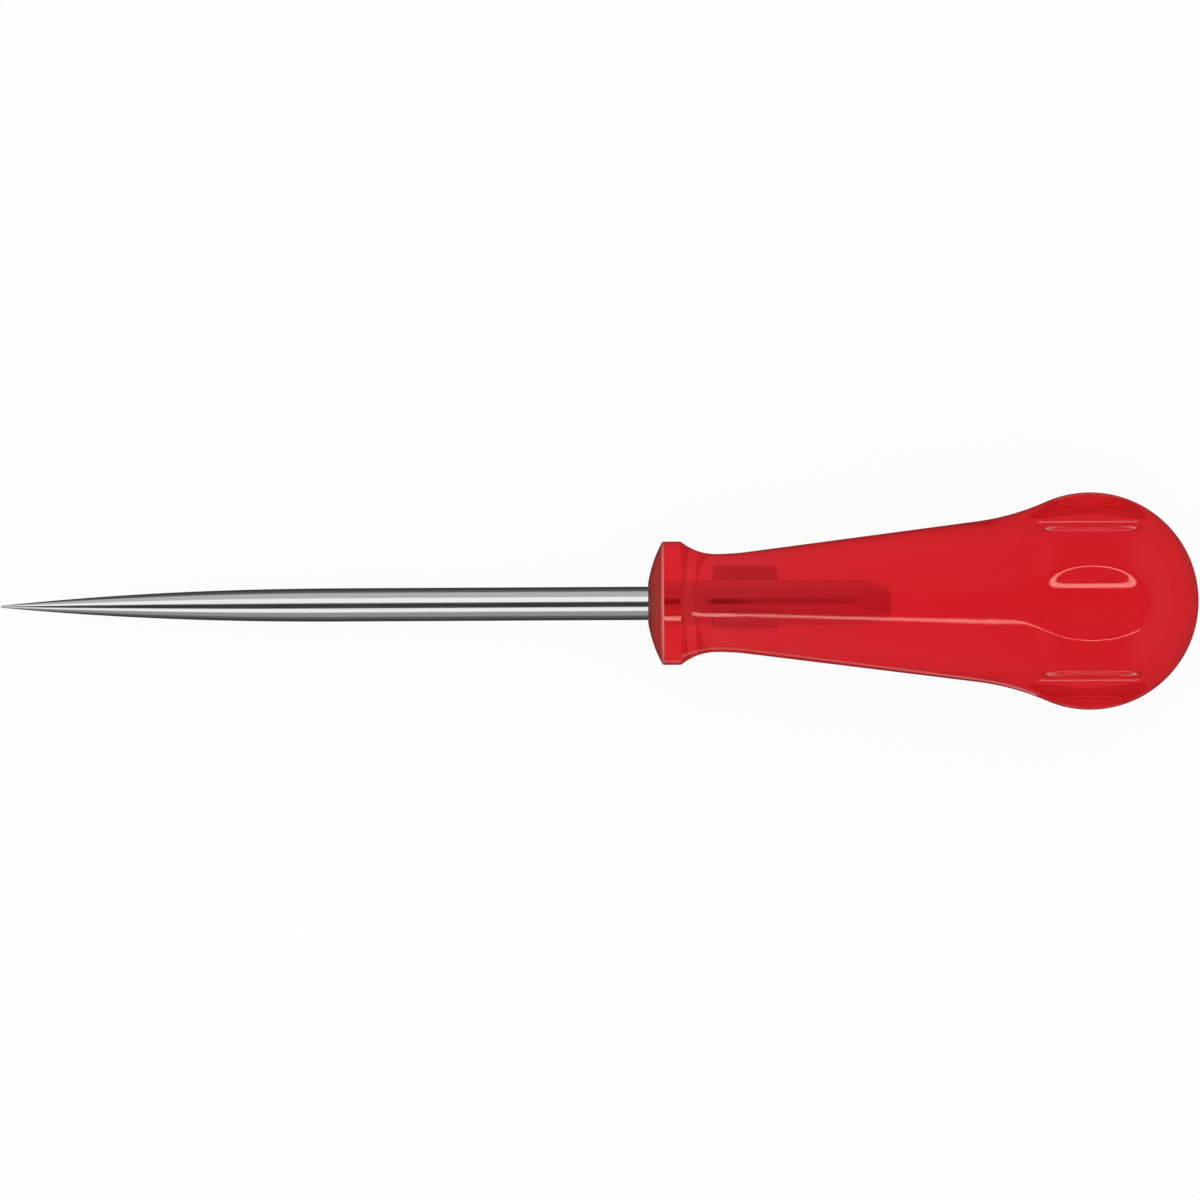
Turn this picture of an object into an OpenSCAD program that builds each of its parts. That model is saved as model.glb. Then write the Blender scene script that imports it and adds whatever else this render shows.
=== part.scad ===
// Bradawl: a round steel blade with a long ground point, fixed in a pear-shaped handle of clear plastic.
// The tool's axis lies along X, with the point toward -X and the handle's bulb toward +X.
// The origin is on that axis, where the shank meets the handle's front face.
// Outlines are half sections: the first coordinate is the radius, the second the distance behind the origin.

/* [Blade] */
// Diameter of the bare shank
shank_d = 5; // [4:0.1:6.5]
// Length of bare steel from the handle's face to the tip
blade_reach = 97; // [75:0.5:140]
// Length of the ground point
point_len = 52; // [30:0.5:70]
// Fullness of the ground point: 1 is a plain cone, more is rounder
point_fullness = 2.2; // [1.2:0.1:3]
// Diameter of the blunted tip
tip_d = 0.3; // [0.2:0.05:0.8]

/* [Tang] */
// Depth of the tang in the handle
tang_len = 36.7; // [26:0.1:50]
// Step all round from the shank down to the tang
shoulder_step = 0.2; // [0.1:0.05:0.6]
// Length of the taper at the tang's end
tang_taper_len = 3.6; // [1:0.1:5]
// Diameter of the tang's end
tang_end_d = 3; // [1.5:0.1:3.2]
// Distance from the handle's face to the wings
wing_start = 8.9; // [5:0.1:12]
// Length of the wings along the tang
wing_len = 11.5; // [6:0.1:16]
// Slope of the wings' ends along the tang
wing_slope = 0.8; // [0.2:0.1:2]
// Span from wing tip to wing tip
wing_span = 8.1; // [7:0.1:11]
// Thickness of the wings
wing_thickness = 1.6; // [0.8:0.1:2.5]
// Turn of the wings about the tool's axis
wing_turn = 40; // [0:5:90]

/* [Handle] */
// Length of the handle from its face to the butt
handle_len = 82.5; // [76:0.5:100]
// Width of the flat seat around the shank
seat_margin = 0.5; // [0.2:0.1:1.5]
// Radius of the domed front
dome_r = 19; // [14:0.5:40]
// Diameter of the collar
collar_d = 18.5; // [16:0.1:22]
// Length of the collar's straight wall
collar_len = 2.4; // [1:0.1:6]
// Rounding of the collar's two edges
collar_round = 0.35; // [0.1:0.05:0.6]
// Diameter of the neck
neck_d = 14.7; // [12:0.1:15.5]
// Radius of the hollow flare from the collar to the neck
flare_r = 8.4; // [5:0.1:14]
// Radius of the sweep from the neck into the stem
sweep_r = 38; // [10:0.5:60]
// Diameter that the stem's cone would reach at the bulb's centre
stem_root_d = 28.4; // [24:0.1:30]
// Radius of the hollow shoulder between the stem and the bulb
shoulder_r = 38; // [10:0.5:60]
// Diameter of the bulb
bulb_d = 32.6; // [31:0.1:40]

/* [Flutes] */
// Number of finger flutes around the bulb
flute_count = 6; // [3:1:8]
// Radius of each flute's hollow
flute_r = 9; // [6:0.1:14]
// Depth of each flute at the bulb's widest place
flute_depth = 2.6; // [1:0.1:4]

/* [Fit] */
// Clearance between the tang and its socket
socket_clearance = 0.02; // [0:0.01:0.1]

/* [Hidden] */
$fn = 96;
point_steps = 24;
dome_steps = 6;
edge_steps = 4;
flare_steps = 8;
sweep_steps = 4;
shoulder_steps = 6;
bulb_steps = 30;
cut_past = 1;
steel_colour = [0.78, 0.79, 0.8];
plastic_colour = [0.82, 0.1, 0.13, 0.85];

shank_r = shank_d / 2;
tip_r = tip_d / 2;
tang_r = shank_r - shoulder_step;
tang_end_r = tang_end_d / 2;
seat_r = shank_r + seat_margin;
collar_r = collar_d / 2;
neck_r = neck_d / 2;
stem_root_r = stem_root_d / 2;
bulb_r = bulb_d / 2;
flute_centre_r = bulb_r - flute_depth + flute_r;

// Centres of the arcs in the handle's outline, from the front to the back
dome_centre = [0, sqrt(pow(dome_r, 2) - pow(seat_r, 2))];
front_edge = [
    collar_r - collar_round,
    dome_centre.y - sqrt(pow(dome_r - collar_round, 2) - pow(collar_r - collar_round, 2))
];
back_edge = front_edge + [0, collar_len];
flare_rise = neck_r + flare_r - back_edge.x;
flare_centre = [neck_r + flare_r, back_edge.y + sqrt(pow(flare_r + collar_round, 2) - pow(flare_rise, 2))];
sweep_centre = [neck_r + sweep_r, flare_centre.y];
bulb_centre = [0, handle_len - bulb_r];

// The stem's line touches the sweep and passes through the stem's root radius at the bulb's centre
root_to_sweep = [sweep_centre.x - stem_root_r, bulb_centre.y - sweep_centre.y];
stem_angle = atan2(root_to_sweep.y, root_to_sweep.x) - acos(sweep_r / norm(root_to_sweep));
stem_along = [sin(stem_angle), cos(stem_angle)];
stem_outward = [cos(stem_angle), -sin(stem_angle)];

// The shoulder's arc touches the stem's line and the bulb
shoulder_abeam = [stem_root_r, 0] + shoulder_r * stem_outward;
shoulder_back = shoulder_abeam * stem_along;
shoulder_reach = sqrt(pow(shoulder_back, 2) + pow(bulb_r + shoulder_r, 2) - pow(norm(shoulder_abeam), 2));
shoulder_centre = bulb_centre + shoulder_abeam - (shoulder_back + shoulder_reach) * stem_along;

// Angle of the line from one point to another
function bearing(from, to) = atan2(to.y - from.y, to.x - from.x);

// Points along an arc; one that carries on from the arc before it leaves out its first point
function arc(centre, radius, from, to, steps, first = 0) = [
    for (i = [first : steps])
        let (angle = from * (1 - i / steps) + to * (i / steps))
        centre + radius * [cos(angle), sin(angle)]
];

// Radius of the ground point at a share of its length from the tip
function point_radius(share) = tip_r + (shank_r - tip_r) * (1 - pow(1 - share, point_fullness));

// Outline of the ground point, from the tip to the shank
function point_outline() = [
    for (i = [0 : point_steps])
        let (share = i / point_steps)
        [point_radius(share), point_len * share - blade_reach]
];

// Outline of the round tang, grown all round by a gap
function tang_outline(start, gap) = [
    [tang_r + gap, start],
    [tang_r + gap, tang_len - tang_taper_len],
    [tang_end_r + gap, tang_len + gap],
    [0, tang_len + gap]
];

function blade_outline() = concat(
    [[0, -blade_reach]],
    point_outline(),
    [[shank_r, 0]],
    tang_outline(0, 0)
);

function handle_outline() = concat(
    [[0, 0]],
    arc(dome_centre, dome_r, bearing(dome_centre, [seat_r, 0]), bearing(dome_centre, front_edge), dome_steps),
    arc(front_edge, collar_round, bearing(dome_centre, front_edge), 0, edge_steps, 1),
    arc(back_edge, collar_round, 0, bearing(back_edge, flare_centre), edge_steps),
    arc(flare_centre, flare_r, bearing(back_edge, flare_centre) + 180, 180, flare_steps, 1),
    arc(sweep_centre, sweep_r, 180, 180 - stem_angle, sweep_steps, 1),
    arc(shoulder_centre, shoulder_r, 180 - stem_angle, bearing(shoulder_centre, bulb_centre), shoulder_steps),
    arc(bulb_centre, bulb_r, bearing(bulb_centre, shoulder_centre), 90, bulb_steps, 1)
);

// Turns a shape from the upright working axis to lie along X, with its first side up
module lay_down() {
    rotate([0, 90, 0]) rotate([0, 0, 180]) children();
}

// Two swaged wings on opposite sides of the tang, grown all round by a gap
module wings(gap) {
    tip = wing_span / 2 + gap;
    front = wing_start - gap;
    back = wing_start + wing_len + gap;
    rotate([0, 0, wing_turn])
        rotate([90, 0, 0])
        linear_extrude(wing_thickness + 2 * gap, center = true)
        polygon([
            [0, front], [tip, front + wing_slope], [tip, back - wing_slope],
            [0, back], [-tip, back - wing_slope], [-tip, front + wing_slope]
        ]);
}

// Hollow in the handle that the tang fills
module socket() {
    rotate_extrude() polygon(concat([[0, -cut_past]], tang_outline(-cut_past, socket_clearance)));
    wings(socket_clearance);
}

// Hollows around the bulb, the first on its upper side
module flutes() {
    for (i = [0 : flute_count - 1])
        rotate([0, 0, i * 360 / flute_count])
        translate([flute_centre_r, 0, flare_centre.y])
        cylinder(r = flute_r, h = handle_len - flare_centre.y + cut_past);
}

module blade() {
    color(steel_colour)
        lay_down() {
            rotate_extrude() polygon(blade_outline());
            wings(0);
        }
}

module handle() {
    color(plastic_colour)
        lay_down()
        difference() {
            rotate_extrude() polygon(handle_outline());
            flutes();
            socket();
        }
}

blade();
handle();
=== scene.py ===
import math

import bpy
from mathutils import Matrix, Vector


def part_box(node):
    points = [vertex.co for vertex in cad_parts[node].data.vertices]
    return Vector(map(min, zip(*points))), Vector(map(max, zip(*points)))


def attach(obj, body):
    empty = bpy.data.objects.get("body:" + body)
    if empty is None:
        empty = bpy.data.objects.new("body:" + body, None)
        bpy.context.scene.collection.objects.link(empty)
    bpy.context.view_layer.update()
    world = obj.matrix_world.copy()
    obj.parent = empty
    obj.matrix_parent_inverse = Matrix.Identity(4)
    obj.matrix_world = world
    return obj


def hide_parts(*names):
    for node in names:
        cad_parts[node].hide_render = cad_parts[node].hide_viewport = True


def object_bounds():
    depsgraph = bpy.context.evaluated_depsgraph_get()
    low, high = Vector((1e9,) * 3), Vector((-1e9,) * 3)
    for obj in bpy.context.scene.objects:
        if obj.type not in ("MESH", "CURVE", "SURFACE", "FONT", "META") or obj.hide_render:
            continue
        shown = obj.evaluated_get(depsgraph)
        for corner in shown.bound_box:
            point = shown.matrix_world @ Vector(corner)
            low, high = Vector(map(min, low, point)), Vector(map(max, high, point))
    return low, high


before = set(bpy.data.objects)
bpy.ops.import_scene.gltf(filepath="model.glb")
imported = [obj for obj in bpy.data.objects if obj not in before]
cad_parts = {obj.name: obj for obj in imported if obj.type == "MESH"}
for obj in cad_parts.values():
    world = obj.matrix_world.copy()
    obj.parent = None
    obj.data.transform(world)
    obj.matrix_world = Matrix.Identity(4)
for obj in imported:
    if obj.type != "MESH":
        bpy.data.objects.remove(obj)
cad_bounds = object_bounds()

# Everything is in metres, in the frame of the CAD model: the tool's axis lies along X with the point toward
# -X, the origin is where the shank meets the handle's front face, and one finger flute faces up, toward +Z.
# Outlines are half sections: the first coordinate is the radius, the second the distance behind the origin.
MM = 0.001

# Blade
BLADE_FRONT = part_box("blade")[0].x
TANG_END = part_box("blade")[1].x
SHANK_R = 2.5 * MM
TIP_R = 0.15 * MM
POINT_LEN = 52 * MM
POINT_FULLNESS = 2.2
TANG_R = 2.3 * MM
TANG_END_R = 1.5 * MM
TANG_TAPER_LEN = 3.6 * MM
WING_START = 8.9 * MM
WING_LEN = 11.5 * MM
WING_SLOPE = 0.8 * MM
WING_HALF_SPAN = 4.05 * MM
WING_HALF_THICKNESS = 0.8 * MM
WING_TURN = math.radians(40)
WING_ROUND = 0.35 * MM

# Handle
HANDLE_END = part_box("handle")[1].x
SEAT_R = 3 * MM
DOME_R = 19 * MM
COLLAR_R = 9.25 * MM
COLLAR_LEN = 2.4 * MM
COLLAR_ROUND = 0.35 * MM
NECK_R = 7.35 * MM
FLARE_R = 8.4 * MM
SWEEP_R = 38 * MM
STEM_ROOT_R = 14.2 * MM
SHOULDER_R = 38 * MM
BULB_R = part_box("handle")[1].y
FLUTE_COUNT = 6
FLUTE_R = 9 * MM
FLUTE_DEPTH = 2.6 * MM
FLUTE_ROUND = 1.5 * MM
FLUTE_CENTRE_R = BULB_R - FLUTE_DEPTH + FLUTE_R
SOCKET_GRIP = 0.02 * MM

# Facets of the meshes, with the rings of the point crowded toward its tip
BLADE_SIDES = 360
POINT_STEPS = 64
POINT_CROWDING = 1.5
SHANK_STEPS = 12
TANG_STEPS = 6
WING_STEPS = 8
TAPER_STEPS = 4
BLADE_SHARP_ANGLE = math.radians(35)
HANDLE_SIDES = 384
DOME_STEPS = 24
EDGE_STEPS = 10
FLARE_STEPS = 24
SWEEP_STEPS = 10
STEM_STEPS = 14
SHOULDER_STEPS = 28
BULB_STEPS = 96
HANDLE_SHARP_ANGLE = math.radians(50)

# Polished steel; textures are in repeats per metre along each axis
STEEL_COLOUR = (0.74, 0.74, 0.75, 1)
STEEL_ROUGHNESS = (0.1, 0.2)
STEEL_PATCHES = (60, 300, 300)
STEEL_PATCH_DETAIL = 2
GRIND_LINES = (14, 5000, 5000)
GRIND_DETAIL = 3
GRIND_DEPTH = 0.004 * MM
GRIND_STRENGTH = 0.5

# Clear red plastic: its surface, and the dye and faint cloud inside it
BODY_TINT = (0.98, 0.027, 0.04, 1)
GLOSS_TINT = (1, 0.64, 0.54, 1)
GLOSS_ROUGHNESS = (0.05, 0.1)
PLASTIC_IOR = 1.48
WEAR_SPECKS = (900, 900, 900)
WEAR_DETAIL = 3
SKIN_WAVES = (250, 250, 250)
SKIN_WAVE_DETAIL = 2
SKIN_WAVE_DEPTH = 0.01 * MM
SKIN_WAVE_STRENGTH = 0.18
DYE_COLOUR = (0.95, 0.03, 0.1, 1)
DYE_DENSITY = 30
CLOUD_COLOUR = (1, 0.2, 0.2, 1)
CLOUD_DENSITY = 55
CLOUD_FORWARD = 0.6

# Duller turned face at the handle's front; its colour is darkened with painted shade, more so toward the
# shank
FACE_SHADE_TINT = (0.6, 0.055, 0.055, 1)
FACE_FROST = 0.6
FACE_ROUGHNESS = 0.7
FACE_DEPTH = 2.04 * MM
FACE_EDGE = 0.3 * MM
# Painted shade where the face meets the shank
SEAT_SHADE_TINT = (0.27, 0.05, 0.04, 1)
SEAT_SHADE_START = 3.5 * MM
SEAT_SHADE_END = 7.5 * MM

# Painted highlight: a pale frosted band round the edge of that face
EDGE_HIGHLIGHT_TINT = (1, 0.23, 0.2, 1)
EDGE_HIGHLIGHT_FROST = 1
EDGE_HIGHLIGHT_START = 2 * MM
EDGE_HIGHLIGHT_END = 2.3 * MM
EDGE_HIGHLIGHT_SOFT = 0.1 * MM
EDGE_HIGHLIGHT_MIN_R = 8.5 * MM

# Slightly darker tint on the neck, which fades out along the stem
NECK_TINT = (0.9, 0.033, 0.043, 1)
NECK_TINT_START = 4.5 * MM
NECK_TINT_FULL = 6 * MM
NECK_TINT_FADE = 12 * MM
NECK_TINT_END = 36 * MM

# Light levels, where 1 is white, the slant over which the room's ends lighten, and the floor's half width
WHITE_LEVEL = 1
FLOOR_PAINT = 0.06
FLOOR_MIRROR = 0.14
WALL_LEVEL = 0.2
END_LEVEL = 0.45
END_FADE = (0.3, 0.8)
FLOOR_REACH = 12

# Dark slot overhead where the camera stands, as metal and as steel inside the plastic mirror it, in degrees
SLOT_LEVEL = 0.05
SLOT_LEAN = 6
SLOT_HALF_WIDTH = 18
INNER_SLOT_LEVEL = 0
INNER_SLOT_LEAN = -8.6
INNER_SLOT_HALF_WIDTH = 15
INNER_SLOT_FADE = (0.1, 0.145)
SLOT_EDGE = 4

# Boxes and walls that the blade mirrors: name, first and last lean toward the near side in degrees, radiance
BLADE_LAMPS = (
    ("far_box", -47, -12.6, 0.98),
    ("near_box", 25.4, 53, 0.98),
    ("far_wall", -100, -47, 0.4),
    ("near_wall", 53, 100, 0.2),
)
BLADE_LAMP_DISTANCE = 0.5
BLADE_LAMP_LENGTH = 3

# Strip that draws the highlight along the handle, in parts named for what mirrors them:
# name, start and end behind the origin, width, radiance
STRIP_PARTS = (
    ("strip_shoulder", -600 * MM, -122 * MM, 44 * MM, 6.2),
    ("strip_neck", -122 * MM, -108 * MM, 70 * MM, 6.2),
    ("strip_stem", -108 * MM, -98 * MM, 56 * MM, 6.2),
    ("strip_stem_end", -98 * MM, -60 * MM, 44 * MM, 6.2),
    ("strip_bulb", -60 * MM, 600 * MM, 66 * MM, 8),
)
STRIP_LEAN = 28.5
STRIP_DISTANCE = 0.5

# Low strips beside the bulb: name, distance aside, distance below the axis, radiance
BULB_KICKERS = (
    ("outer", 42 * MM, 11 * MM, 1.3),
    ("inner", 27 * MM, 14 * MM, 1),
)
BULB_KICKER_LENGTH = 18 * MM
BULB_KICKER_WIDTH = 3 * MM

# Low strip beside the stem
STEM_KICKER_MIDDLE = 29 * MM
STEM_KICKER_ASIDE = 18 * MM
STEM_KICKER_BELOW = 8.5 * MM
STEM_KICKER_LENGTH = 56 * MM
STEM_KICKER_WIDTH = 3.4 * MM
STEM_KICKER_RADIANCE = 0.4

# Times that light may bounce about inside the clear plastic, and off its cloud
PLASTIC_BOUNCES = 32
CLOUD_BOUNCES = 16

# View of the photograph
PHOTO_WIDTH = 179.85 * MM
LENS = 500
SENSOR = 36
VIEW_CENTRE = Vector((-7.215 * MM, 0.54 * MM, 0))
VIEW_TURN = math.radians(-0.298)


def bearing(start, end):
    """Angle of the line from one point of a half section to another."""
    return math.atan2(end[1] - start[1], end[0] - start[0])


def arc(centre, radius, start, end, steps, first=0):
    """Points along an arc; one that carries on from the arc before it leaves out its first point."""
    points = []
    for step in range(first, steps + 1):
        angle = start + (end - start) * step / steps
        points.append((centre[0] + radius * math.cos(angle), centre[1] + radius * math.sin(angle)))
    return points


def soft_min(first, second, blend):
    """Lower of two values, with the corner between them rounded over a blend width."""
    overlap = max(blend - abs(first - second), 0) / blend
    return min(first, second) - overlap ** 3 * blend / 6


def soft_max(first, second, blend):
    """Higher of two values, with the corner between them rounded over a blend width."""
    return -soft_min(-first, -second, blend)


def spread(start, end, steps):
    """Evenly spaced values after start, up to and with end."""
    return [start + (end - start) * step / steps for step in range(1, steps + 1)]


def ring(station, radius_at, sides):
    """Points around the tool's axis at a distance behind the origin; angle 0 is up."""
    points = []
    for side in range(sides):
        angle = 2 * math.pi * side / sides
        radius = radius_at(angle)
        points.append(Vector((station, -radius * math.sin(angle), radius * math.cos(angle))))
    return points


def skin(name, front_pole, rings, back_pole, material, sharp_angle):
    """Closed mesh through a row of rings, with a pole at each end."""
    sides = len(rings[0])
    points = [front_pole]
    for row in rings:
        points.extend(row)
    points.append(back_pole)
    last = len(points) - 1
    faces = []
    for side in range(sides):
        beside = (side + 1) % sides
        faces.append((0, 1 + beside, 1 + side))
        for row in range(len(rings) - 1):
            near = 1 + row * sides
            far = near + sides
            faces.append((near + side, near + beside, far + beside, far + side))
        final = last - sides
        faces.append((last, final + side, final + beside))
    mesh = bpy.data.meshes.new(name)
    mesh.from_pydata(points, [], faces)
    mesh.materials.append(material)
    mesh.shade_smooth()
    mesh.set_sharp_from_angle(angle=sharp_angle)
    piece = bpy.data.objects.new(name, mesh)
    bpy.context.scene.collection.objects.link(piece)
    return piece


def point_radius(share):
    """Radius of the ground point at a share of its length from the tip."""
    return TIP_R + (SHANK_R - TIP_R) * (1 - (1 - share) ** POINT_FULLNESS)


def wing_half_span(station):
    """Reach of the tang's wings from the axis at a distance behind the origin."""
    ahead = station - WING_START
    behind = WING_START + WING_LEN - station
    rise = max(min(ahead, behind, WING_SLOPE), 0) / WING_SLOPE
    return WING_HALF_SPAN * rise


def tang_radius(station, angle, gap):
    """Radius of the tang with its two wings, drawn in all round by a gap."""
    taper = max(station - TANG_END + TANG_TAPER_LEN, 0) / TANG_TAPER_LEN
    body = TANG_R + (TANG_END_R - TANG_R) * taper
    half_span = wing_half_span(station)
    across = abs(math.sin(angle - WING_TURN))
    along = abs(math.cos(angle - WING_TURN))
    if half_span <= body or along < across:
        return body - gap
    edge = half_span / along
    flank = WING_HALF_THICKNESS / max(across, WING_HALF_THICKNESS / (2 * WING_HALF_SPAN))
    return soft_max(body, soft_min(edge, flank, WING_ROUND), WING_ROUND) - gap


def tang_stations():
    """Distances behind the origin of the rings along the tang, closer together at the wings' ends."""
    wing_end = WING_START + WING_LEN
    return (
        spread(0, WING_START, TANG_STEPS)
        + spread(WING_START, WING_START + WING_SLOPE, WING_STEPS)
        + spread(WING_START + WING_SLOPE, wing_end - WING_SLOPE, WING_STEPS)
        + spread(wing_end - WING_SLOPE, wing_end, WING_STEPS)
        + spread(wing_end, TANG_END - TANG_TAPER_LEN, TANG_STEPS)
        + spread(TANG_END - TANG_TAPER_LEN, TANG_END, TAPER_STEPS)
    )


def tang_rings(gap, sides):
    """Rings along the tang, from the handle's face to the tang's end."""
    rings = [ring(0, lambda angle: TANG_R - gap, sides)]
    for station in tang_stations():
        rings.append(ring(station, lambda angle: tang_radius(station, angle, gap), sides))
    return rings


def make_blade(material):
    """Blade with its ground point, bare shank, shoulder and winged tang."""
    rings = []
    for step in range(POINT_STEPS + 1):
        share = (step / POINT_STEPS) ** POINT_CROWDING
        radius = point_radius(share)
        rings.append(ring(BLADE_FRONT + POINT_LEN * share, lambda angle: radius, BLADE_SIDES))
    for station in spread(BLADE_FRONT + POINT_LEN, 0, SHANK_STEPS):
        rings.append(ring(station, lambda angle: SHANK_R, BLADE_SIDES))
    rings.extend(tang_rings(0, BLADE_SIDES))
    front = Vector((BLADE_FRONT, 0, 0))
    back = Vector((TANG_END, 0, 0))
    return skin("steel_blade", front, rings, back, material, BLADE_SHARP_ANGLE)


def front_outline():
    """Half section of the handle from the flat seat, over the dome and collar, to the neck."""
    dome_centre = (0, math.sqrt(DOME_R ** 2 - SEAT_R ** 2))
    inset = COLLAR_R - COLLAR_ROUND
    front_edge = (inset, dome_centre[1] - math.sqrt((DOME_R - COLLAR_ROUND) ** 2 - inset ** 2))
    back_edge = (inset, front_edge[1] + COLLAR_LEN)
    flare_rise = NECK_R + FLARE_R - inset
    flare_run = math.sqrt((FLARE_R + COLLAR_ROUND) ** 2 - flare_rise ** 2)
    flare_centre = (NECK_R + FLARE_R, back_edge[1] + flare_run)
    dome_start = bearing(dome_centre, (SEAT_R, 0))
    dome_end = bearing(dome_centre, front_edge)
    flare_start = bearing(back_edge, flare_centre)
    outline = arc(dome_centre, DOME_R, dome_start, dome_end, DOME_STEPS)
    outline += arc(front_edge, COLLAR_ROUND, dome_end, 0, EDGE_STEPS, 1)
    outline += arc(back_edge, COLLAR_ROUND, 0, flare_start, EDGE_STEPS)
    return outline + arc(flare_centre, FLARE_R, flare_start + math.pi, math.pi, FLARE_STEPS, 1)


def rear_outline(neck_station):
    """Half section of the handle from the neck, along the stem and shoulder, round the bulb to the butt."""
    sweep_centre = (NECK_R + SWEEP_R, neck_station)
    bulb_centre = (0, HANDLE_END - BULB_R)

    # The stem's line touches the sweep and passes through the stem's root radius at the bulb's centre
    root_to_sweep = Vector((sweep_centre[0] - STEM_ROOT_R, bulb_centre[1] - sweep_centre[1]))
    stem_angle = math.atan2(root_to_sweep.y, root_to_sweep.x) - math.acos(SWEEP_R / root_to_sweep.length)
    stem_along = Vector((math.sin(stem_angle), math.cos(stem_angle)))
    stem_outward = Vector((math.cos(stem_angle), -math.sin(stem_angle)))
    stem_side = math.pi - stem_angle

    # The shoulder's arc touches the stem's line and the bulb
    abeam = Vector((STEM_ROOT_R, 0)) + SHOULDER_R * stem_outward
    back = abeam.dot(stem_along)
    reach = math.sqrt(back ** 2 + (BULB_R + SHOULDER_R) ** 2 - abeam.length_squared)
    shoulder_centre = Vector(bulb_centre) + abeam - (back + reach) * stem_along

    outline = arc(sweep_centre, SWEEP_R, math.pi, stem_side, SWEEP_STEPS, 1)
    stem_start = Vector(outline[-1])
    shoulder_end = bearing(shoulder_centre, bulb_centre)
    shoulder = arc(shoulder_centre, SHOULDER_R, stem_side, shoulder_end, SHOULDER_STEPS)
    for step in range(1, STEM_STEPS):
        outline.append(tuple(stem_start.lerp(Vector(shoulder[0]), step / STEM_STEPS)))
    bulb_start = bearing(bulb_centre, shoulder_centre)
    bulb = arc(bulb_centre, BULB_R, bulb_start, math.pi / 2, BULB_STEPS, 1)
    return outline + shoulder + bulb[:-1]


def handle_outline():
    """Half section of the handle's outside, from the flat seat round the shank to the butt."""
    front = front_outline()
    return front + rear_outline(front[-1][1])


def flute_radius(angle):
    """Distance from the axis to the nearest flute's hollow, or past the bulb where none is cut."""
    turn = 2 * math.pi / FLUTE_COUNT
    aside = angle - turn * round(angle / turn)
    across = FLUTE_CENTRE_R * math.sin(aside)
    if abs(across) >= FLUTE_R:
        return FLUTE_CENTRE_R
    return FLUTE_CENTRE_R * math.cos(aside) - math.sqrt(FLUTE_R ** 2 - across ** 2)


def make_handle(material):
    """Handle moulding with its collar, neck, stem and fluted bulb, and the socket that the tang fills."""
    rings = tang_rings(SOCKET_GRIP, HANDLE_SIDES)
    rings.reverse()
    for radius, station in handle_outline():
        trimmed = lambda angle: soft_min(radius, flute_radius(angle), FLUTE_ROUND)
        rings.append(ring(station, trimmed, HANDLE_SIDES))
    socket_end = Vector((TANG_END, 0, 0))
    butt = Vector((HANDLE_END, 0, 0))
    return skin("red_handle", socket_end, rings, butt, material, HANDLE_SHARP_ANGLE)


def new_material(name):
    """Empty node material and its node tree."""
    material = bpy.data.materials.new(name)
    material.use_nodes = True
    tree = material.node_tree
    tree.nodes.clear()
    return material, tree


def math_node(tree, operation, first, second=0):
    """Result of a sum, product or other operation on two values, which are numbers or outputs of nodes."""
    node = tree.nodes.new("ShaderNodeMath")
    node.operation = operation
    for socket, value in zip(node.inputs, (first, second)):
        if isinstance(value, (int, float)):
            socket.default_value = value
        else:
            tree.links.new(value, socket)
    return node.outputs["Value"]


def remap(tree, value, low, high):
    """A value from 0 to 1 spread over the range from low to high."""
    node = tree.nodes.new("ShaderNodeMapRange")
    node.inputs["To Min"].default_value = low
    node.inputs["To Max"].default_value = high
    tree.links.new(value, node.inputs["Value"])
    return node.outputs["Result"]


def ramp(tree, value, start, end, low=0, high=1):
    """Smooth change from low at one place of a value to high at another."""
    node = tree.nodes.new("ShaderNodeMapRange")
    node.interpolation_type = "SMOOTHSTEP"
    node.inputs["From Min"].default_value = start
    node.inputs["From Max"].default_value = end
    node.inputs["To Min"].default_value = low
    node.inputs["To Max"].default_value = high
    tree.links.new(value, node.inputs["Value"])
    return node.outputs["Result"]


def mix_colour(tree, share, base, over):
    """Colour that changes with a share; each colour is a fixed one or an output of a node."""
    node = tree.nodes.new("ShaderNodeMix")
    node.data_type = "RGBA"
    tree.links.new(share, node.inputs["Factor"])
    for socket, colour in ((node.inputs["A"], base), (node.inputs["B"], over)):
        if isinstance(colour, tuple):
            socket.default_value = colour
        else:
            tree.links.new(colour, socket)
    return node.outputs["Result"]


def stretched_noise(tree, scale, detail):
    """Noise whose features have their own size along each axis, in repeats per metre."""
    place = tree.nodes.new("ShaderNodeTexCoord")
    mapping = tree.nodes.new("ShaderNodeMapping")
    mapping.inputs["Scale"].default_value = scale
    noise = tree.nodes.new("ShaderNodeTexNoise")
    noise.inputs["Scale"].default_value = 1
    noise.inputs["Detail"].default_value = detail
    tree.links.new(place.outputs["Object"], mapping.inputs["Vector"])
    tree.links.new(mapping.outputs["Vector"], noise.inputs["Vector"])
    return noise.outputs["Fac"]


def bump(tree, height, distance, strength):
    """Normal that follows a height value over a depth in metres."""
    node = tree.nodes.new("ShaderNodeBump")
    node.inputs["Distance"].default_value = distance
    node.inputs["Strength"].default_value = strength
    tree.links.new(height, node.inputs["Height"])
    return node.outputs["Normal"]


def make_steel():
    """Bright polished steel with fine grinding lines along the blade."""
    material, tree = new_material("polished_steel")
    output = tree.nodes.new("ShaderNodeOutputMaterial")
    shader = tree.nodes.new("ShaderNodeBsdfPrincipled")
    shader.inputs["Metallic"].default_value = 1
    shader.inputs["Base Color"].default_value = STEEL_COLOUR
    lines = stretched_noise(tree, GRIND_LINES, GRIND_DETAIL)
    patches = stretched_noise(tree, STEEL_PATCHES, STEEL_PATCH_DETAIL)
    tree.links.new(remap(tree, patches, *STEEL_ROUGHNESS), shader.inputs["Roughness"])
    tree.links.new(bump(tree, lines, GRIND_DEPTH, GRIND_STRENGTH), shader.inputs["Normal"])
    tree.links.new(shader.outputs["BSDF"], output.inputs["Surface"])
    return material


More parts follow.
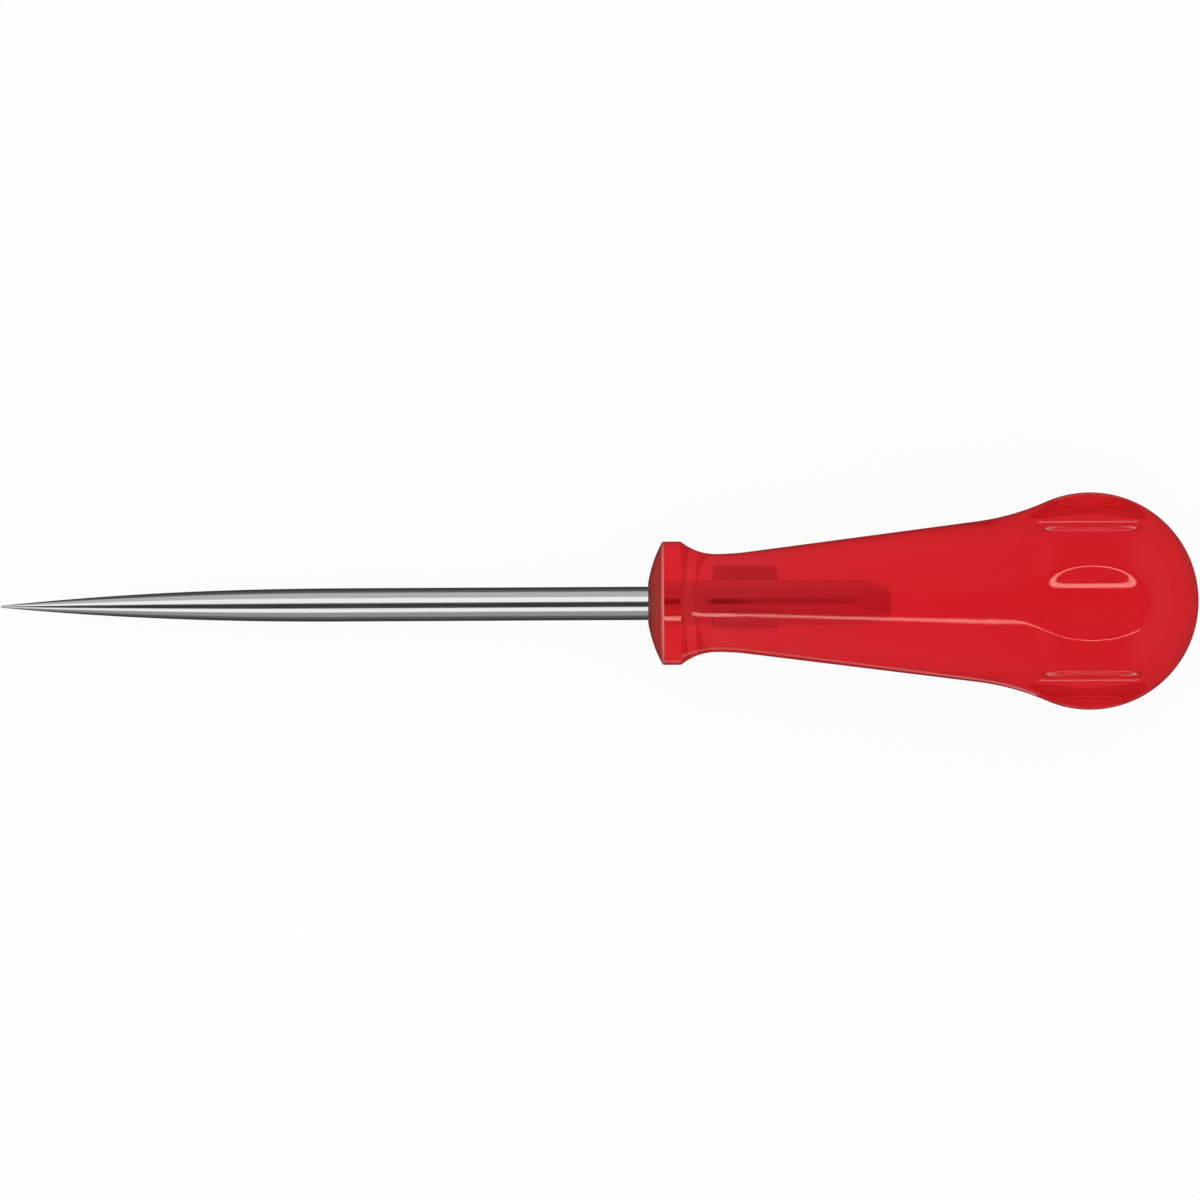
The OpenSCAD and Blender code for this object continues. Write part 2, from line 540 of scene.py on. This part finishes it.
def front_masks(tree):
    """Shares of the matte front face, which carries painted shade, of more painted shade near the shank, of
    a painted highlight round the face's edge and of the darker tint on the neck.
    """
    where = tree.nodes.new("ShaderNodeTexCoord")
    split = tree.nodes.new("ShaderNodeSeparateXYZ")
    tree.links.new(where.outputs["Object"], split.inputs["Vector"])
    station = split.outputs["X"]
    face = ramp(tree, station, FACE_DEPTH, FACE_DEPTH - FACE_EDGE)
    squared_y = math_node(tree, "POWER", split.outputs["Y"], 2)
    squared_z = math_node(tree, "POWER", split.outputs["Z"], 2)
    radius = math_node(tree, "SQRT", math_node(tree, "ADD", squared_y, squared_z))
    # Painted shade: the face darkens toward the shank
    seat = ramp(tree, radius, SEAT_SHADE_END, SEAT_SHADE_START)
    # Painted highlight: a band round the front face's edge, past a radius
    outside = math_node(tree, "GREATER_THAN", radius, EDGE_HIGHLIGHT_MIN_R)
    after_start = ramp(tree, station, EDGE_HIGHLIGHT_START - EDGE_HIGHLIGHT_SOFT, EDGE_HIGHLIGHT_START)
    before_end = ramp(tree, station, EDGE_HIGHLIGHT_END + EDGE_HIGHLIGHT_SOFT, EDGE_HIGHLIGHT_END)
    edge_highlight = math_node(tree, "MULTIPLY", outside, math_node(tree, "MULTIPLY", after_start, before_end))
    # Share of the darker tint on the neck, fading out along the stem
    rise = ramp(tree, station, NECK_TINT_START, NECK_TINT_FULL)
    neck_share = math_node(tree, "MULTIPLY", rise, ramp(tree, station, NECK_TINT_END, NECK_TINT_FADE))
    return face, seat, edge_highlight, neck_share


def plastic_inside(tree):
    """Red dye that colours light on its way through, and a faint cloud that softens what shows."""
    dye = tree.nodes.new("ShaderNodeVolumeAbsorption")
    dye.inputs["Color"].default_value = DYE_COLOUR
    dye.inputs["Density"].default_value = DYE_DENSITY
    cloud = tree.nodes.new("ShaderNodeVolumeScatter")
    cloud.inputs["Color"].default_value = CLOUD_COLOUR
    cloud.inputs["Density"].default_value = CLOUD_DENSITY
    cloud.inputs["Anisotropy"].default_value = CLOUD_FORWARD
    both = tree.nodes.new("ShaderNodeAddShader")
    tree.links.new(dye.outputs["Volume"], both.inputs[0])
    tree.links.new(cloud.outputs["Volume"], both.inputs[1])
    return both.outputs["Shader"]


def make_plastic():
    """Clear red moulded plastic with a glossy, faintly wavy skin; matte and darkened with painted shade in
    front, with a frosted painted highlight round the front face's edge and a darker tint on the neck.
    """
    material, tree = new_material("clear_red_plastic")
    output = tree.nodes.new("ShaderNodeOutputMaterial")
    shader = tree.nodes.new("ShaderNodeBsdfPrincipled")
    shader.inputs["IOR"].default_value = PLASTIC_IOR
    shader.inputs["Specular Tint"].default_value = GLOSS_TINT

    # The face's painted shade and its edge's painted highlight show only from outside, so that inside they
    # don't darken the flare
    face, seat, edge_highlight, neck_share = front_masks(tree)
    geometry = tree.nodes.new("ShaderNodeNewGeometry")
    from_outside = math_node(tree, "SUBTRACT", 1, geometry.outputs["Backfacing"])
    # Front face share, for its matte finish and its painted shade
    matte_and_shaded = math_node(tree, "MULTIPLY", face, from_outside)
    # Painted highlight on the face's edge, seen only from outside
    edge_highlight_share = math_node(tree, "MULTIPLY", edge_highlight, from_outside)
    # Slightly darker tint on the neck
    neck_tinted = mix_colour(tree, neck_share, BODY_TINT, NECK_TINT)
    # Painted shade: darker face colour, darker still near the shank
    shaded = mix_colour(tree, seat, FACE_SHADE_TINT, SEAT_SHADE_TINT)
    colour = mix_colour(tree, edge_highlight_share, mix_colour(tree, matte_and_shaded, neck_tinted, shaded), EDGE_HIGHLIGHT_TINT)
    tree.links.new(colour, shader.inputs["Base Color"])
    # The painted highlight is frosted so that it shows pale
    edge_highlight_frost = remap(tree, edge_highlight_share, 0, EDGE_HIGHLIGHT_FROST)
    frost = math_node(tree, "MAXIMUM", edge_highlight_frost, remap(tree, matte_and_shaded, 0, FACE_FROST))
    tree.links.new(math_node(tree, "SUBTRACT", 1, frost), shader.inputs["Transmission Weight"])

    worn = remap(tree, stretched_noise(tree, WEAR_SPECKS, WEAR_DETAIL), *GLOSS_ROUGHNESS)
    matt = math_node(tree, "MULTIPLY", face, FACE_ROUGHNESS)
    tree.links.new(math_node(tree, "MAXIMUM", worn, matt), shader.inputs["Roughness"])
    waves = stretched_noise(tree, SKIN_WAVES, SKIN_WAVE_DETAIL)
    tree.links.new(bump(tree, waves, SKIN_WAVE_DEPTH, SKIN_WAVE_STRENGTH), shader.inputs["Normal"])
    tree.links.new(shader.outputs["BSDF"], output.inputs["Surface"])
    tree.links.new(plastic_inside(tree), output.inputs["Volume"])
    return material


def make_floor_material():
    """Plain white floor that takes a soft shadow; gloss shows it darker the more steeply it is seen."""
    material, tree = new_material("white_floor")
    output = tree.nodes.new("ShaderNodeOutputMaterial")
    path = tree.nodes.new("ShaderNodeLightPath")
    slant = tree.nodes.new("ShaderNodeLayerWeight")
    grazing = math_node(tree, "POWER", slant.outputs["Facing"], 2)
    mirror_level = math_node(tree, "MULTIPLY", grazing, FLOOR_MIRROR)
    mirrored = math_node(tree, "MULTIPLY", path.outputs["Is Glossy Ray"], mirror_level)
    seen = math_node(tree, "MAXIMUM", path.outputs["Is Camera Ray"], path.outputs["Is Transmission Ray"])
    shown = math_node(tree, "MULTIPLY", seen, WHITE_LEVEL - FLOOR_PAINT)
    glow = tree.nodes.new("ShaderNodeEmission")
    tree.links.new(math_node(tree, "MAXIMUM", shown, mirrored), glow.inputs["Strength"])
    paint = tree.nodes.new("ShaderNodeBsdfDiffuse")
    paint.inputs["Color"].default_value = (FLOOR_PAINT, FLOOR_PAINT, FLOOR_PAINT, 1)
    both = tree.nodes.new("ShaderNodeAddShader")
    tree.links.new(glow.outputs["Emission"], both.inputs[0])
    tree.links.new(paint.outputs["BSDF"], both.inputs[1])
    tree.links.new(both.outputs["Shader"], output.inputs["Surface"])
    return material


def make_floor():
    """Floor that the tool's tip and the lower flute edges of its bulb rest on."""
    tip = Vector((BLADE_FRONT, 0, -TIP_R))
    bulb = Vector((HANDLE_END - BULB_R, 0, cad_bounds[0][2]))
    along = (bulb - tip).normalized()
    across = Vector((0, 1, 0))
    corners = []
    for far, side in ((-1, -1), (1, -1), (1, 1), (-1, 1)):
        corners.append(bulb + FLOOR_REACH * (far * along + side * across))
    mesh = bpy.data.meshes.new("floor")
    mesh.from_pydata(corners, [], [(0, 1, 2, 3)])
    mesh.materials.append(make_floor_material())
    floor = bpy.data.objects.new("floor", mesh)
    bpy.context.scene.collection.objects.link(floor)


def slot_level(tree, lean, centre, half_width, low, high):
    """Level at a lean from overhead: low in a slot about a centre, high outside it, in degrees."""
    off_centre = math_node(tree, "SUBTRACT", lean, math.radians(centre))
    aside = math_node(tree, "ABSOLUTE", off_centre)
    start = math.radians(half_width - SLOT_EDGE / 2)
    end = math.radians(half_width + SLOT_EDGE / 2)
    return ramp(tree, aside, start, end, low, high)


def make_world():
    """Even white surround that gloss sees as a dim room, lighter at its ends and darker overhead."""
    world = bpy.data.worlds.new("studio")
    bpy.context.scene.world = world
    world.use_nodes = True
    tree = world.node_tree
    tree.nodes.clear()
    output = tree.nodes.new("ShaderNodeOutputWorld")
    background = tree.nodes.new("ShaderNodeBackground")
    place = tree.nodes.new("ShaderNodeTexCoord")
    split = tree.nodes.new("ShaderNodeSeparateXYZ")
    tree.links.new(place.outputs["Generated"], split.inputs["Vector"])
    toward_front = math_node(tree, "MULTIPLY", split.outputs["Y"], -1)
    lean = math_node(tree, "ARCTAN2", toward_front, split.outputs["Z"])
    room = slot_level(tree, lean, SLOT_LEAN, SLOT_HALF_WIDTH, SLOT_LEVEL, WALL_LEVEL)
    across = slot_level(tree, lean, INNER_SLOT_LEAN, INNER_SLOT_HALF_WIDTH, INNER_SLOT_LEVEL, WHITE_LEVEL)
    toward_end = math_node(tree, "ABSOLUTE", split.outputs["X"])
    inside = math_node(tree, "MAXIMUM", across, ramp(tree, toward_end, *INNER_SLOT_FADE))
    walls = math_node(tree, "MAXIMUM", room, ramp(tree, toward_end, *END_FADE, 0, END_LEVEL))
    path = tree.nodes.new("ShaderNodeLightPath")
    mirrored = math_node(tree, "MULTIPLY", path.outputs["Is Glossy Ray"], walls)
    through = math_node(tree, "MULTIPLY", path.outputs["Is Transmission Ray"], inside)
    plain = math_node(tree, "MAXIMUM", path.outputs["Is Camera Ray"], path.outputs["Is Diffuse Ray"])
    lit = math_node(tree, "MULTIPLY", plain, WHITE_LEVEL)
    strength = math_node(tree, "MAXIMUM", lit, math_node(tree, "MAXIMUM", mirrored, through))
    tree.links.new(strength, background.inputs["Strength"])
    tree.links.new(background.outputs["Background"], output.inputs["Surface"])


def make_lamp(name, target, toward, length, width, radiance, receiver):
    """Soft lamp, long along X, that faces a target from a distance and is mirrored by one piece."""
    lamp = bpy.data.lights.new(name, "AREA")
    lamp.shape = "RECTANGLE"
    lamp.size = length
    lamp.size_y = width
    lamp.energy = radiance * math.pi * length * width
    holder = bpy.data.objects.new(name, lamp)
    along = Vector((1, 0, 0))
    back = toward.normalized()
    side = back.cross(along)
    turn = Matrix((along, side, back)).transposed().to_4x4()
    holder.matrix_world = Matrix.Translation(target + toward) @ turn
    holder.visible_camera = False
    holder.visible_diffuse = False
    holder.visible_transmission = False
    receivers = bpy.data.collections.new(name + "_receivers")
    receivers.objects.link(receiver)
    holder.light_linking.receiver_collection = receivers
    bpy.context.scene.collection.objects.link(holder)


def lean_toward_front(degrees, distance):
    """Place at a distance from the tool's axis, leaning from overhead toward the near side."""
    lean = math.radians(degrees)
    return Vector((0, -distance * math.sin(lean), distance * math.cos(lean)))


def make_blade_lamps(blade):
    """Two bright soft boxes and two dimmer walls that the round blade mirrors as bands."""
    origin = Vector((0, 0, 0))
    for name, start, end, radiance in BLADE_LAMPS:
        width = 2 * BLADE_LAMP_DISTANCE * math.tan(math.radians(end - start) / 2)
        toward = lean_toward_front((start + end) / 2, BLADE_LAMP_DISTANCE)
        make_lamp(name, origin, toward, BLADE_LAMP_LENGTH, width, radiance, blade)


def make_handle_lamps(handle):
    """Strip that draws the highlight along the handle, and low strips that edge its side flutes and stem."""
    overhead = lean_toward_front(STRIP_LEAN, STRIP_DISTANCE)
    for name, start, end, width, radiance in STRIP_PARTS:
        middle = Vector(((start + end) / 2, 0, 0))
        make_lamp(name, middle, overhead, end - start, width, radiance, handle)
    bulb = Vector((HANDLE_END - BULB_R, 0, 0))
    for side_name, side in (("far", 1), ("near", -1)):
        for kind, aside, below, radiance in BULB_KICKERS:
            name = side_name + "_" + kind + "_kicker"
            toward = Vector((0, side * aside, -below))
            make_lamp(name, bulb, toward, BULB_KICKER_LENGTH, BULB_KICKER_WIDTH, radiance, handle)
    stem = Vector((STEM_KICKER_MIDDLE, 0, 0))
    toward = Vector((0, -STEM_KICKER_ASIDE, -STEM_KICKER_BELOW))
    size = (STEM_KICKER_LENGTH, STEM_KICKER_WIDTH)
    make_lamp("stem_kicker", stem, toward, *size, STEM_KICKER_RADIANCE, handle)


def make_camera():
    """Camera square above the tool, as in the photograph."""
    camera = bpy.data.cameras.new("camera")
    camera.lens = LENS
    camera.sensor_width = SENSOR
    holder = bpy.data.objects.new("camera", camera)
    holder.location = VIEW_CENTRE + Vector((0, 0, PHOTO_WIDTH * LENS / SENSOR))
    holder.rotation_euler = (0, 0, VIEW_TURN)
    bpy.context.scene.collection.objects.link(holder)
    bpy.context.scene.camera = holder


def place(piece, node, slot):
    """Puts a piece on the root body in place of a CAD node, which it hides."""
    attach(piece, "root")
    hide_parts(node)


blade = make_blade(make_steel())
handle = make_handle(make_plastic())
place(blade, "blade", "polished_steel")
place(handle, "handle", "clear_red_plastic")
make_floor()
make_world()
make_blade_lamps(blade)
make_handle_lamps(handle)
make_camera()
bpy.context.scene.view_settings.view_transform = "Standard"
bpy.context.scene.cycles.max_bounces = PLASTIC_BOUNCES
bpy.context.scene.cycles.glossy_bounces = PLASTIC_BOUNCES
bpy.context.scene.cycles.transmission_bounces = PLASTIC_BOUNCES
bpy.context.scene.cycles.volume_bounces = CLOUD_BOUNCES

bpy.context.view_layer.update()
